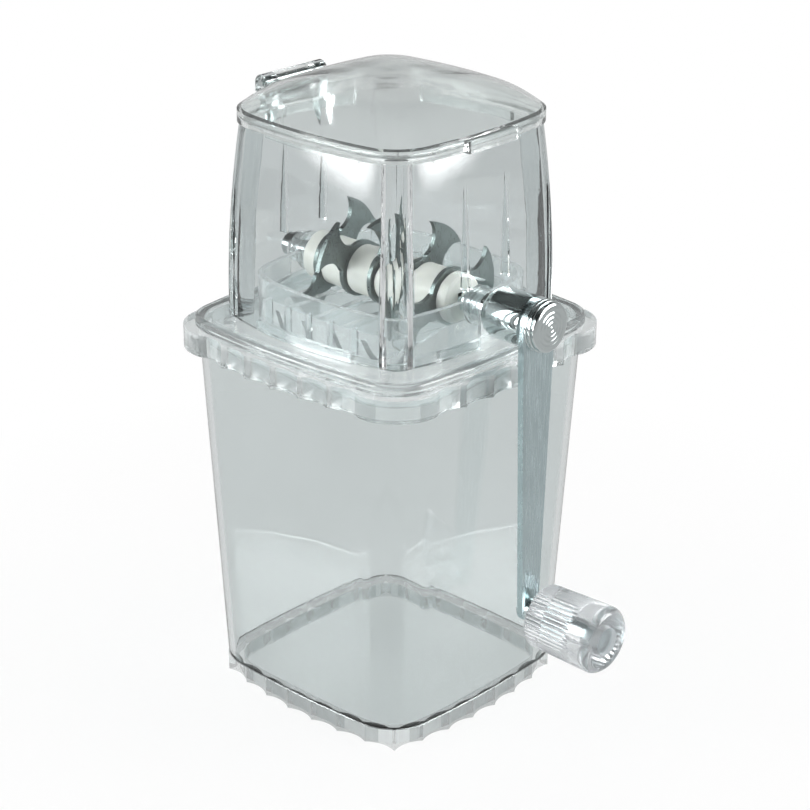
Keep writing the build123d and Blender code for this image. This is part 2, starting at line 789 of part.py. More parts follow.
with BuildPart() as knob_spindle:
    add(
        turned(
            [
                (0, -arm_thickness - rivet_head_length),
                (rivet_head_radius, -arm_thickness - rivet_head_length),
                (rivet_head_radius, -arm_thickness),
                (spindle_radius, -arm_thickness),
                (spindle_radius, 0),
                (ferrule_small_radius, 0),
                (ferrule_small_radius, ferrule_neck_length),
                (ferrule_large_radius, ferrule_length - ferrule_lip_length),
                (ferrule_large_radius, ferrule_length),
                (spindle_radius, ferrule_length),
                (spindle_radius, spindle_head),
                (spindle_head_radius, spindle_head),
                (spindle_head_radius, spindle_head + spindle_head_length),
                (0, spindle_head + spindle_head_length),
            ],
            turning_plane(arm_front, knob_height),
        )
    )
    chamfer(knob_spindle.edges().filter_by(GeomType.CIRCLE).sort_by(Axis.X)[0], rivet_head_chamfer)
knob_spindle.part.label = "knob_spindle"
export_step(knob_spindle.part, "parts/knob_spindle.step")

knob_plane = Plane((knob_start, 0, knob_height), x_dir=(0, 1, 0), z_dir=(1, 0, 0))
with BuildPart() as knob:
    add(
        turned(
            [
                (spindle_radius + running_clearance, 0),
                (knob_inner_radius - knob_edge_round, 0),
                (knob_inner_radius, knob_edge_round),
                (knob_outer_radius, knob_length),
                (knob_cap_radius + fit_clearance, knob_length),
                (knob_cap_radius + fit_clearance, knob_length - knob_cap_thickness),
                (spindle_head_radius + end_gap, knob_length - knob_cap_thickness),
                (spindle_head_radius + end_gap, head_seat),
                (spindle_radius + running_clearance, head_seat),
            ],
            turning_plane(knob_start, knob_height),
        )
    )
    fillet(
        knob.edges().filter_by(GeomType.CIRCLE).sort_by(SortBy.LENGTH)[-1],
        knob_dome_round,
    )
    # fine grip ribs, left between round-bottomed grooves
    with BuildSketch(knob_plane):
        with PolarLocations(knob_inner_radius + knob_rib_depth, knob_rib_count):
            Circle(2 * knob_rib_depth)
    extrude(amount=knob_rib_length, mode=Mode.SUBTRACT)
knob.part.label = "knob"
export_step(knob.part, "parts/knob.step")

with BuildPart() as knob_cap:
    with BuildSketch(knob_plane.offset(knob_length - knob_cap_thickness)):
        Circle(knob_cap_radius)
    extrude(amount=knob_cap_thickness)
    chamfer(knob_cap.edges().sort_by(Axis.X)[-1], knob_cap_chamfer)
knob_cap.part.label = "knob_cap"
export_step(knob_cap.part, "parts/knob_cap.step")
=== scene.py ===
"""Looks of the hand-cranked ice crusher: finishes, moulded details, studio and camera."""
from math import cos, radians, sin

import bpy
import numpy as np
from bpy.props import FloatProperty, FloatVectorProperty, PointerProperty
from mathutils import Matrix, Vector


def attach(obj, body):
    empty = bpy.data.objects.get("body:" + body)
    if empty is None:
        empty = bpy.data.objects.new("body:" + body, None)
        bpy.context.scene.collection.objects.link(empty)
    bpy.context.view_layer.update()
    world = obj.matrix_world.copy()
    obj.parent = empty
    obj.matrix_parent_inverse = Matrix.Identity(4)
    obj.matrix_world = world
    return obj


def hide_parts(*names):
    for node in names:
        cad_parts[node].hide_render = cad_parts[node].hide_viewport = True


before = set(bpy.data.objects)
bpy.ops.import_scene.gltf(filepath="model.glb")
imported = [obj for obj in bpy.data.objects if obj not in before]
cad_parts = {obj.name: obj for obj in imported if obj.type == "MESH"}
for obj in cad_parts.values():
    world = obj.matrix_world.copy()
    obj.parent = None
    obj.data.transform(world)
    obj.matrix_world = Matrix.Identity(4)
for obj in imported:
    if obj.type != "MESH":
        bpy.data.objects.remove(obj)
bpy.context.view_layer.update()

bl_info = {
    "name": "Ice Crusher Looks",
    "version": (1, 0, 0),
    "blender": (4, 5, 0),
    "location": "View3D > Sidebar > Ice Crusher",
    "description": "Finishes, moulded details and studio of a hand-cranked ice crusher",
    "category": "Object",
}

MM = 0.001
WELD_GAP = 0.002 * MM

# where a finish changes: distances in metres from the middle planes, and heights
FOOT_INSIDE, FOOT_TOP = 46 * MM, 9.25 * MM
SKIRT_INSIDE, SKIRT_TOP = 60.3 * MM, 150 * MM
PILLAR_INSIDE, PILLAR_TOP = 37 * MM, 214 * MM
PILLAR_SIDE_FADE, PILLAR_TOP_FADE = 1.5 * MM, 12 * MM

# the crank's cap and the knob, in millimetres: x runs forward along the shaft
SHAFT_HEIGHT = 169.8
ARM_FRONT = 73.9
CAP_FRONT = ARM_FRONT + 5.2
CAP_FACE, CAP_DOME = 8.4, 300
RINGS_FACE, RING_STEP, RING_DEPTH = 7.2, 1.8, 0.16
KNOB_HEIGHT = 53.6
KNOB_START, KNOB_END = 80.0, 111.5
RIBS, RIB_DEPTH = 48, 0.45
RIB_END, RIB_FADE = KNOB_START + 20.5, 1.2
SPINDLE_BORE, HEAD_BORE = 3.2, 5.4
HEAD_SEAT, HEAD_END = KNOB_END - 6.8, KNOB_END - 2.4

# noise lies mostly between these levels
NOISE_LOW, NOISE_HIGH = 0.3, 0.7

# the studio, in metres
FLOOR_RADIUS, FLOOR_SIDES = 0.6, 96
CARD_SIZE = (0.75, 1.0)
# the table glows by this share up to the first distance, and wholly from the second
NEAR_GLOW, NEAR_END, FAR_START = 0.8, 0.1, 0.3
# how bright the room is from straight down (0) over level (0.5) to straight up (1)
ROOM_IN_MIRROR = (
    (0.0, 0.45), (0.5, 0.45), (0.6, 0.3), (0.75, 0.25), (0.79, 0.02), (0.94, 0.02), (1.0, 0.35)
)
ROOM_THROUGH_GLASS = (
    (0.0, 0.8), (0.6, 0.75), (0.72, 0.4), (0.78, 0.02), (0.94, 0.02), (1.0, 0.5)
)


# ---- Settings ---------------------------------------------------------------------

def colour(name, description, default):
    """A colour setting with the usual limits."""
    return FloatVectorProperty(
        name=name, description=description, default=default, subtype="COLOR", min=0, max=1
    )


def length(name, description, default):
    """A length setting, in metres."""
    return FloatProperty(name=name, description=description, default=default, unit="LENGTH")


class FinishSettings(bpy.types.PropertyGroup):
    """Colours and surface qualities of the crusher's materials."""

    plastic: colour(
        "Container", "Colour that the container's wall lets through", (0.825, 0.86, 0.86)
    )
    foot: colour("Foot", "Colour that the thick fluted foot lets through", (0.48, 0.515, 0.515))
    skirt: colour("Skirt", "Colour that the fluted skirt lets through", (0.57, 0.60, 0.60))
    frame_plastic: colour(
        "Hopper frame", "Colour that the frame's wall lets through", (0.885, 0.915, 0.915)
    )
    hood_plastic: colour("Hood", "Colour that the hood's wall lets through", (0.82, 0.852, 0.855))
    lid_plastic: colour("Lid", "Colour that the lid's wall lets through", (0.90, 0.93, 0.925))
    knob_plastic: colour("Knob", "Colour that the knob lets through", (0.735, 0.765, 0.78))
    plastic_roughness: FloatProperty(
        name="Clear roughness", description="Roughness of the polished mouldings",
        default=0.02, min=0, max=1,
    )
    plastic_ior: FloatProperty(
        name="Clear IOR", description="Refractive index of the plastic", default=1.49, min=1, max=2
    )
    flow_depth: length("Flow marks", "Depth of the faint waves left by moulding", 0.00012)
    drum: colour("Drums", "Cream plastic of the spacer drums", (0.80, 0.79, 0.74))
    bush: colour("Bushes", "Colour that the clear bushes let through", (0.88, 0.91, 0.91))
    cutter: colour("Cutters", "Stamped steel of the cutters", (0.19, 0.225, 0.22))
    chrome: colour("Chrome", "Bright plate on the shaft, boss and cap", (0.72, 0.78, 0.78))
    arm: colour("Crank arm", "Satin plate on the crank arm", (0.58, 0.69, 0.71))


class StudioSettings(bpy.types.PropertyGroup):
    """Camera, backdrop and soft boxes."""

    distance: length("Distance", "Camera from the object's axis, along the floor", 0.82445)
    height: length("Height", "Camera above the table", 0.47212)
    azimuth: FloatProperty(
        name="Azimuth", description="Camera's place round the object",
        default=radians(42.95), subtype="ANGLE",
    )
    yaw: FloatProperty(
        name="Yaw", description="Camera turned off the axis",
        default=radians(-0.40), subtype="ANGLE",
    )
    pitch: FloatProperty(
        name="Pitch", description="Camera tilted down", default=radians(23.19), subtype="ANGLE"
    )
    roll: FloatProperty(
        name="Roll", description="Camera rolled", default=radians(0.46), subtype="ANGLE"
    )
    lens: FloatProperty(name="Lens", description="Focal length in mm", default=102.58, min=1)
    shift: FloatProperty(name="Shift", description="Upright lens shift", default=-0.00756)
    fill: FloatProperty(
        name="Fill light", description="Strength of the even studio light", default=0.45, min=0
    )
    through_glass: FloatProperty(
        name="Behind glass", description="How bright the backdrop is behind clear plastic",
        default=0.8, min=0, max=1,
    )
    mirrored_table: FloatProperty(
        name="Table in mirrors", description="How bright the table is in bright metal",
        default=0.5, min=0, max=1,
    )
    key: FloatProperty(
        name="Key light", description="Brightness of each tall soft box", default=9.0, min=0
    )
    box_distance: length("Soft box distance", "Soft boxes from the object's axis", 1.2)
    left_box: FloatProperty(
        name="Left soft box", description="Where the left soft box stands round the object",
        default=radians(-122), subtype="ANGLE",
    )
    right_box: FloatProperty(
        name="Right soft box", description="Where the right soft box stands round the object",
        default=radians(36), subtype="ANGLE",
    )


SETTINGS = (
    ("crusher_finish", FinishSettings),
    ("crusher_studio", StudioSettings),
)


# ---- Materials --------------------------------------------------------------------

def calculate(tree, operation, *values):
    """A maths node over sockets and numbers: returns its result."""
    node = tree.nodes.new("ShaderNodeMath")
    node.operation = operation
    for socket, value in zip(node.inputs, values):
        if isinstance(value, (int, float)):
            socket.default_value = value
        else:
            tree.links.new(value, socket)
    return node.outputs[0]


def any_of(tree, *sources):
    """The largest of the sources: 1 where any of them is 1."""
    largest = sources[0]
    for source in sources[1:]:
        largest = calculate(tree, "MAXIMUM", largest, source)
    return largest


def map_range(tree, source, start, end, low=0, high=1):
    """Maps the values between start and end to those between low and high."""
    span = tree.nodes.new("ShaderNodeMapRange")
    span.inputs["From Min"].default_value = start
    span.inputs["From Max"].default_value = end
    span.inputs["To Min"].default_value = low
    span.inputs["To Max"].default_value = high
    tree.links.new(source, span.inputs["Value"])
    return span.outputs["Result"]


def place_in(tree, space):
    """The x, y and z of the shaded point, in the given space."""
    place = tree.nodes.new("ShaderNodeTexCoord")
    split = tree.nodes.new("ShaderNodeSeparateXYZ")
    tree.links.new(place.outputs[space], split.inputs["Vector"])
    return split.outputs


def show_mix(tree, share, first, second, output):
    """Shows the first shader, or the second where the share is 1."""
    mix = tree.nodes.new("ShaderNodeMixShader")
    tree.links.new(share, mix.inputs["Fac"])
    tree.links.new(first, mix.inputs[1])
    tree.links.new(second, mix.inputs[2])
    tree.links.new(mix.outputs["Shader"], output.inputs["Surface"])


def new_material(name):
    """An empty node material: returns it with its tree, its shader and its output."""
    material = bpy.data.materials.new(name)
    material.use_nodes = True
    tree = material.node_tree
    return material, tree, tree.nodes["Principled BSDF"], tree.nodes["Material Output"]


def add_noise(tree, scale, detail=3.0, stretch=(1, 1, 1)):
    """Noise over the piece's own place in space, drawn out by the given factors."""
    place = tree.nodes.new("ShaderNodeTexCoord")
    mapping = tree.nodes.new("ShaderNodeMapping")
    mapping.inputs["Scale"].default_value = stretch
    noise = tree.nodes.new("ShaderNodeTexNoise")
    noise.inputs["Scale"].default_value = scale
    noise.inputs["Detail"].default_value = detail
    tree.links.new(place.outputs["Object"], mapping.inputs["Vector"])
    tree.links.new(mapping.outputs["Vector"], noise.inputs["Vector"])
    return noise.outputs["Fac"]


def spread(tree, source, low, high):
    """Maps a noise pattern's middle range to the values from low to high."""
    return map_range(tree, source, NOISE_LOW, NOISE_HIGH, low, high)


def vary_colour(tree, shader, source, base, change):
    """Lets the base colour drift between darker and lighter by the given share."""
    ramp = tree.nodes.new("ShaderNodeValToRGB")
    dark, light = ramp.color_ramp.elements
    dark.position, light.position = NOISE_LOW, NOISE_HIGH
    dark.color = (*[c * (1 - change) for c in base], 1)
    light.color = (*[min(1, c * (1 + change)) for c in base], 1)
    tree.links.new(source, ramp.inputs["Fac"])
    tree.links.new(ramp.outputs["Color"], shader.inputs["Base Color"])


def add_bump(tree, shader, source, distance, strength=1.0):
    """Raises the surface by a pattern, to the given distance in metres.

    It adds to the bump that the shader already has.
    """
    bump = tree.nodes.new("ShaderNodeBump")
    if shader.inputs["Normal"].is_linked:
        below = shader.inputs["Normal"].links[0].from_socket
        tree.links.new(below, bump.inputs["Normal"])
    bump.inputs["Distance"].default_value = distance
    bump.inputs["Strength"].default_value = strength
    tree.links.new(source, bump.inputs["Height"])
    tree.links.new(bump.outputs["Normal"], shader.inputs["Normal"])


def clear_plastic(name, tint, roughness, waves, wave_scale, clarity=1.0):
    """Polished clear moulding with faint flow waves, whose shadow is only a tint."""
    finish = bpy.context.scene.crusher_finish
    material, tree, shader, output = new_material(name)
    shader.inputs["Transmission Weight"].default_value = clarity
    shader.inputs["IOR"].default_value = finish.plastic_ior
    vary_colour(tree, shader, add_noise(tree, scale=14), tint, change=0.02)
    wear = add_noise(tree, scale=30)
    tree.links.new(
        spread(tree, wear, roughness * 0.6, roughness * 1.6), shader.inputs["Roughness"]
    )
    add_bump(tree, shader, add_noise(tree, wave_scale, detail=1.0), waves)
    clear = tree.nodes.new("ShaderNodeBsdfTransparent")
    clear.inputs["Color"].default_value = (*[0.5 + 0.5 * c for c in tint], 1)
    path = tree.nodes.new("ShaderNodeLightPath")
    show_mix(
        tree, path.outputs["Is Shadow Ray"], shader.outputs["BSDF"], clear.outputs["BSDF"], output
    )
    return material


def bright_metal(name, base, roughness, scratch_scale, stretch, depth):
    """Plated or polished metal with fine wiping marks."""
    material, tree, shader, _ = new_material(name)
    shader.inputs["Metallic"].default_value = 1
    marks = add_noise(tree, scratch_scale, detail=4.0, stretch=stretch)
    vary_colour(tree, shader, add_noise(tree, scale=60), base, change=0.05)
    tree.links.new(
        spread(tree, marks, roughness * 0.7, roughness * 1.5), shader.inputs["Roughness"]
    )
    add_bump(tree, shader, marks, depth)
    return material


def solid_plastic(name, base, roughness):
    """Opaque moulded plastic with a fine grain and a little light inside it."""
    material, tree, shader, _ = new_material(name)
    shader.inputs["Subsurface Weight"].default_value = 0.12
    shader.inputs["Subsurface Radius"].default_value = (0.004, 0.004, 0.003)
    vary_colour(tree, shader, add_noise(tree, scale=45), base, change=0.04)
    grain = add_noise(tree, scale=1400, detail=2.0)
    tree.links.new(
        spread(tree, grain, roughness * 0.85, roughness * 1.2), shader.inputs["Roughness"]
    )
    add_bump(tree, shader, grain, 0.00002, strength=0.6)
    return material


# ---- Pieces -----------------------------------------------------------------------

def smooth_piece(piece, angle):
    """Smooth shading, with edges sharper than the angle left crisp."""
    piece.data.polygons.foreach_set("use_smooth", [True] * len(piece.data.polygons))
    split = piece.modifiers.new("edges", "EDGE_SPLIT")
    split.split_angle = angle


def finish_node(name, material):
    """Gives a CAD node its material and smooth shading."""
    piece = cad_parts[name]
    piece.data.materials.clear()
    piece.data.materials.append(material)
    weld = piece.modifiers.new("weld", "WELD")
    weld.merge_threshold = WELD_GAP
    smooth_piece(piece, radians(32))


def grid_piece(name, points, rows, columns, closed=False, poles=False):
    """A mesh over a grid of points, row by row.

    Cell (i, j) joins points (i, j), (i, j + 1), (i + 1, j + 1) and (i + 1, j). A closed grid
    joins its last column to its first. With poles, the first and last rows are one point each.
    """
    step = np.arange(columns if closed else columns - 1)
    following = (step + 1) % columns
    row = np.arange(rows - 1)[:, None] * columns
    faces = np.stack(
        (row + step, row + following, row + columns + following, row + columns + step), axis=-1
    ).reshape(-1, 4)
    if poles:
        points = np.concatenate((points[columns:-columns], points[:1], points[-1:]))
        faces = faces[columns:-columns] - columns
        first, last = len(points) - 2, len(points) - 1
        end = first - columns
        ring = np.stack((np.full(columns, first), following, step), axis=-1)
        cap = np.stack((np.full(columns, last), end + step, end + following), axis=-1)
        faces = faces.tolist() + ring.tolist() + cap.tolist()
    else:
        faces = faces.tolist()
    mesh = bpy.data.meshes.new(name)
    mesh.from_pydata(points.tolist(), [], faces)
    mesh.update()
    piece = bpy.data.objects.new(name, mesh)
    bpy.context.scene.collection.objects.link(piece)
    return piece


def turned_piece(name, profile, height, around, ripple=None):
    """A closed form turned about the line y = 0, z = height.

    At angle a the point is (x, r sin a, height + r cos a), where x and r run along the
    profile. A ripple is added to r: it is a grid over the profile and the angle.
    The profile starts and ends on the axis.
    """
    x, radius = np.array(profile).T * MM
    angle = np.arange(around) * 2 * np.pi / around
    grid = np.repeat(radius[:, None], around, axis=1)
    if ripple is not None:
        grid = grid + ripple(x, angle)
    points = np.stack(
        (
            np.repeat(x[:, None], around, axis=1),
            grid * np.sin(angle),
            height * MM + grid * np.cos(angle),
        ),
        axis=-1,
    ).reshape(-1, 3)
    return grid_piece(name, points, len(x), around, closed=True, poles=True)


def rounded(corners, radius, steps=5):
    """A profile's corners, each replaced by a short quadratic curve.

    Between the points a and b at the given distance before and after a corner c, the curve is
    (1 - t)^2 a + 2 t (1 - t) c + t^2 b.
    """
    corners = np.array(corners, dtype=float)
    t = np.linspace(0, 1, steps)[:, None]
    points = [corners[:1]]
    for before, corner, after in zip(corners, corners[1:-1], corners[2:]):
        back, ahead = before - corner, after - corner
        size = min(radius, 0.45 * np.hypot(*back), 0.45 * np.hypot(*ahead))
        a = corner + back / np.hypot(*back) * size
        b = corner + ahead / np.hypot(*ahead) * size
        points.append((1 - t) ** 2 * a + 2 * t * (1 - t) * corner + t**2 * b)
    points.append(corners[-1:])
    return np.concatenate(points)


def darken_rim(material, rim, inside, top):
    """A fluted rim is thick, so it lets less light through than the wall behind it.

    The rim is where |x| or |y| is over the given distance and z is under its top.
    """
    tree = material.node_tree
    shader = tree.nodes["Principled BSDF"]
    wall = shader.inputs["Base Color"].links[0].from_socket
    x, y, z = place_in(tree, "Object")
    aside = any_of(tree, calculate(tree, "ABSOLUTE", x), calculate(tree, "ABSOLUTE", y))
    not_rim = any_of(
        tree, calculate(tree, "GREATER_THAN", z, top), calculate(tree, "LESS_THAN", aside, inside)
    )
    mix = tree.nodes.new("ShaderNodeMix")
    mix.data_type = "RGBA"
    mix.inputs["A"].default_value = (*rim, 1)
    tree.links.new(not_rim, mix.inputs["Factor"])
    tree.links.new(wall, mix.inputs["B"])
    tree.links.new(mix.outputs["Result"], shader.inputs["Base Color"])


def streak_pillars(material, inside, top):
    """The hood's corner pillars have upright sink marks that bend the light.

    The streaks are where both |x| and |y| are over the given distance and z is under the top.
    """
    tree = material.node_tree
    x, y, z = place_in(tree, "Object")
    streaks = add_noise(tree, scale=420, detail=1.0, stretch=(1, 1, 0.05))
    for way, start, end in (
        (x, inside, inside + PILLAR_SIDE_FADE),
        (y, inside, inside + PILLAR_SIDE_FADE),
        (z, top, top - PILLAR_TOP_FADE),
    ):
        share = map_range(tree, calculate(tree, "ABSOLUTE", way), start, end)
        streaks = calculate(tree, "MULTIPLY", streaks, share)
    add_bump(tree, tree.nodes["Principled BSDF"], streaks, 0.0012)


class CRUSHER_OT_container(bpy.types.Operator):
    """Finish the clear container with its scalloped foot"""

    bl_idname = "crusher.container"
    bl_label = "Container"

    def execute(self, context):
        finish = context.scene.crusher_finish
        material = clear_plastic(
            "container_plastic", finish.plastic, finish.plastic_roughness,
            waves=finish.flow_depth, wave_scale=22,
        )
        darken_rim(material, finish.foot, FOOT_INSIDE, FOOT_TOP)
        finish_node("container", material)
        return {"FINISHED"}


class CRUSHER_OT_hopper(bpy.types.Operator):
    """Finish the hopper frame and its two bushes"""

    bl_idname = "crusher.hopper"
    bl_label = "Hopper frame"

    def execute(self, context):
        finish = context.scene.crusher_finish
        material = clear_plastic(
            "hopper_plastic", finish.frame_plastic, roughness=0.05,
            waves=2 * finish.flow_depth, wave_scale=90, clarity=0.88,
        )
        darken_rim(material, finish.skirt, SKIRT_INSIDE, SKIRT_TOP)
        finish_node("hopper_frame", material)
        bush = clear_plastic(
            "bush_plastic", finish.bush, roughness=0.06,
            waves=finish.flow_depth, wave_scale=90, clarity=0.9,
        )
        for name in ("front_bush", "rear_bush"):
            finish_node(name, bush)
        return {"FINISHED"}


class CRUSHER_OT_hood(bpy.types.Operator):
    """Finish the hood, the lid and the pin between them"""

    bl_idname = "crusher.hood"
    bl_label = "Hood and lid"

    def execute(self, context):
        finish = context.scene.crusher_finish
        material = clear_plastic(
            "hood_plastic", finish.hood_plastic, finish.plastic_roughness,
            waves=finish.flow_depth, wave_scale=26,
        )
        streak_pillars(material, PILLAR_INSIDE, PILLAR_TOP)
        finish_node("hood", material)
        lid_material = clear_plastic(
            "lid_plastic", finish.lid_plastic, roughness=0.05,
            waves=4 * finish.flow_depth, wave_scale=34, clarity=0.97,
        )
        finish_node("lid", lid_material)
        pin = bright_metal(
            "pin_steel", finish.chrome, roughness=0.12,
            scratch_scale=300, stretch=(1, 1, 1), depth=0.000002,
        )
        finish_node("hinge_pin", pin)
        return {"FINISHED"}


class CRUSHER_OT_cutters(bpy.types.Operator):
    """Finish the stamped cutters and the drums between them"""

    bl_idname = "crusher.cutters"
    bl_label = "Cutters and drums"

    def execute(self, context):
        finish = context.scene.crusher_finish
        steel = bright_metal(
            "cutter_steel", finish.cutter, roughness=0.32,
            scratch_scale=500, stretch=(1, 6, 1), depth=0.000012,
        )
        drum = solid_plastic("drum_plastic", finish.drum, roughness=0.38)
        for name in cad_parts:
            if name.startswith("cutter_") and name != "cutter_shaft":
                finish_node(name, steel)
            if name.startswith("spacer_drum_"):
                finish_node(name, drum)
        return {"FINISHED"}


class CRUSHER_OT_crank(bpy.types.Operator):
    """Build the crank's ringed cap, and finish the shaft, its rear cap and the crank"""

    bl_idname = "crusher.crank"
    bl_label = "Shaft and crank"

    def execute(self, context):
        finish = context.scene.crusher_finish
        chrome = bright_metal(
            "chrome_plate", finish.chrome, roughness=0.05,
            scratch_scale=180, stretch=(1, 5, 5), depth=0.000004,
        )
        for name in ("cutter_shaft", "rear_cap", "crank_boss", "crank_cap", "knob_spindle"):
            finish_node(name, chrome)
        # the face is a shallow dome with sunk rings, x = front - r^2 / dome - rings, where the
        # rings are depth sin^2(pi r / step)
        r = np.linspace(0, CAP_FACE, 85)
        rings = np.where(r < RINGS_FACE, RING_DEPTH * np.sin(np.pi * r / RING_STEP) ** 2, 0)
        face = np.column_stack((CAP_FRONT - r**2 / CAP_DOME - rings, r))
        # the stepped side, as distances behind the front, each with its radius
        side = [
            (0.25, CAP_FACE), (0.5, 9.3), (1.6, 9.5), (1.7, 8.9), (2.1, 8.9),
            (2.2, 9.8), (3.4, 9.9), (3.5, 9.2), (3.9, 9.2), (4.0, 9.9),
        ]
        back = [(ARM_FRONT, 9.9), (ARM_FRONT, 3.1), (ARM_FRONT - 0.2, 0)]
        edge = rounded([(CAP_FRONT - behind, radius) for behind, radius in side] + back, 0.35)
        cap = turned_piece("cap_shell", np.concatenate((face[:-1], edge)), SHAFT_HEIGHT, 128)
        cap.data.materials.append(chrome)
        smooth_piece(cap, radians(60))
        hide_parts("crank_cap")
        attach(cap, "crank")
        satin = bright_metal(
            "arm_plate", finish.arm, roughness=0.22,
            scratch_scale=300, stretch=(1, 6, 0.3), depth=0.000002,
        )
        finish_node("crank_arm", satin)
        return {"FINISHED"}


class CRUSHER_OT_knob(bpy.types.Operator):
    """Build the clear ribbed knob in one moulding with its rounded end"""

    bl_idname = "crusher.knob"
    bl_label = "Knob"

    def execute(self, context):
        finish = context.scene.crusher_finish
        material = clear_plastic(
            "knob_plastic", finish.knob_plastic, roughness=0.10,
            waves=finish.flow_depth, wave_scale=120, clarity=0.96,
        )
        corners = [
            (KNOB_END, 0), (KNOB_END - 0.3, 6), (KNOB_END - 1.2, 11.2),
            (KNOB_END - 3.6, 13.2), (KNOB_START + 0.6, 12.5), (KNOB_START, 11.8),
            (KNOB_START, SPINDLE_BORE),
        ]
        bore = [
            (HEAD_SEAT, SPINDLE_BORE), (HEAD_SEAT, HEAD_BORE), (HEAD_END, HEAD_BORE), (HEAD_END, 0)
        ]
        corner_steps = 7
        profile = np.concatenate((rounded(corners, 1.4, corner_steps), bore))
        # points along the ribbed grip, so that the ribs end in a short run-out
        outer = np.argmax(profile[:, 1])
        grip = np.linspace(profile[outer], profile[outer + 1], 24)[1:-1]
        profile = np.concatenate((profile[: outer + 1], grip, profile[outer + 1 :]))
        # the ribs reach over the grip and its rounded rear edge, but not into the bore
        ribbed = outer + 1 + len(grip) + corner_steps

        def ribs(x, angle):
            """Grooves of depth |cos(24 angle)|^3 times 0.45 mm, for 48 ribs."""
            along = np.clip((RIB_END * MM - x) / (RIB_FADE * MM), 0, 1)
            outside = np.where(np.arange(len(x)) < ribbed, along, 0)
            return -RIB_DEPTH * MM * outside[:, None] * np.abs(np.cos(RIBS / 2 * angle)) ** 3

        knob = turned_piece("knob_shell", profile, KNOB_HEIGHT, 384, ribs)
        knob.data.materials.append(material)
        smooth_piece(knob, radians(40))
        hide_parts("knob", "knob_cap")
        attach(knob, "knob")
        return {"FINISHED"}


# ---- Stage ------------------------------------------------------------------------

def soft_edge(value, reach):
    """Rises smoothly from 0 to 1 at the reach: t^2 (3 - 2 t), where t is value / reach."""
    t = np.clip(value / reach, 0, 1)
    return t * t * (3 - 2 * t)


def build_card(name, angle, near_side):
    """Tall soft box on the table, as a glowing sheet that faces the object.

    Over the sheet, u runs across from the side nearer the camera and v runs up, both 0 to 1.
    The glow is soft(u) * soft(1 - u) * soft(v - 0.1 u) * soft(1 - v), where soft is soft_edge.
    """
    studio = bpy.context.scene.crusher_studio
    columns, rows = 25, 41
    across, up = np.meshgrid(np.linspace(0, 1, columns), np.linspace(0, 1, rows))
    side = (across - 0.5) * CARD_SIZE[0] * near_side
    x = studio.box_distance * cos(angle) - side * sin(angle)
    y = studio.box_distance * sin(angle) + side * cos(angle)
    points = np.column_stack((x.ravel(), y.ravel(), (up * CARD_SIZE[1]).ravel()))
    glow = soft_edge(across, 0.15) * soft_edge(1 - across, 0.15)
    glow = glow * soft_edge(up - 0.10 * across, 0.07) * soft_edge(1 - up, 0.2)
    card = grid_piece(name, points, rows, columns)
    attribute = card.data.attributes.new("glow", "FLOAT", "POINT")
    attribute.data.foreach_set("value", glow.ravel())
    material, tree, _, output = new_material(name)
    read = tree.nodes.new("ShaderNodeAttribute")
    read.attribute_name = "glow"
    light = tree.nodes.new("ShaderNodeEmission")
    tree.links.new(
        calculate(tree, "MULTIPLY", read.outputs["Fac"], studio.key), light.inputs["Strength"]
    )
    clear = tree.nodes.new("ShaderNodeBsdfTransparent")
    add = tree.nodes.new("ShaderNodeAddShader")
    tree.links.new(light.outputs["Emission"], add.inputs[0])
    tree.links.new(clear.outputs["BSDF"], add.inputs[1])
    tree.links.new(add.outputs["Shader"], output.inputs["Surface"])
    card.data.materials.append(material)
    card.visible_camera = False


def backdrop_level(tree, in_mirror, through_glass):
    """How bright the backdrop is for each kind of ray, and which rays see it.

    The camera sees it at 1. The two other levels are numbers or sockets.
    """
    path = tree.nodes.new("ShaderNodeLightPath").outputs
    camera, mirror, glass = (
        path["Is Camera Ray"], path["Is Glossy Ray"], path["Is Transmission Ray"]
    )
    level = any_of(
        tree,
        camera,
        calculate(tree, "MULTIPLY", mirror, in_mirror),
        calculate(tree, "MULTIPLY", glass, through_glass),
    )
    return level, any_of(tree, camera, mirror, glass)


def room_level(tree, height, levels):
    """Brightness of the room by height, from pairs of height and level."""
    ramp = tree.nodes.new("ShaderNodeValToRGB")
    elements = ramp.color_ramp.elements
    elements[0].color = (levels[0][1],) * 3 + (1,)
    elements[-1].color = (levels[-1][1],) * 3 + (1,)
    for position, level in levels[1:-1]:
        elements.new(position).color = (level, level, level, 1)
    tree.links.new(height, ramp.inputs["Fac"])
    return ramp.outputs["Color"]


def build_world(fill):
    """Even studio light, a white room in view, and a dark ceiling for metal and glass."""
    scene = bpy.context.scene
    scene.world = bpy.data.worlds.new("studio")
    scene.world.use_nodes = True
    tree = scene.world.node_tree
    light = tree.nodes["Background"]
    light.inputs["Color"].default_value = (1, 1, 1, 1)
    light.inputs["Strength"].default_value = fill
    height = map_range(tree, place_in(tree, "Generated")["Z"], -1, 1)
    level, seen = backdrop_level(
        tree,
        room_level(tree, height, ROOM_IN_MIRROR),
        room_level(tree, height, ROOM_THROUGH_GLASS),
    )
    room = tree.nodes.new("ShaderNodeBackground")
    room.inputs["Color"].default_value = (1, 1, 1, 1)
    tree.links.new(level, room.inputs["Strength"])
    show_mix(
        tree, seen, light.outputs["Background"], room.outputs["Background"],
        tree.nodes["World Output"],
    )


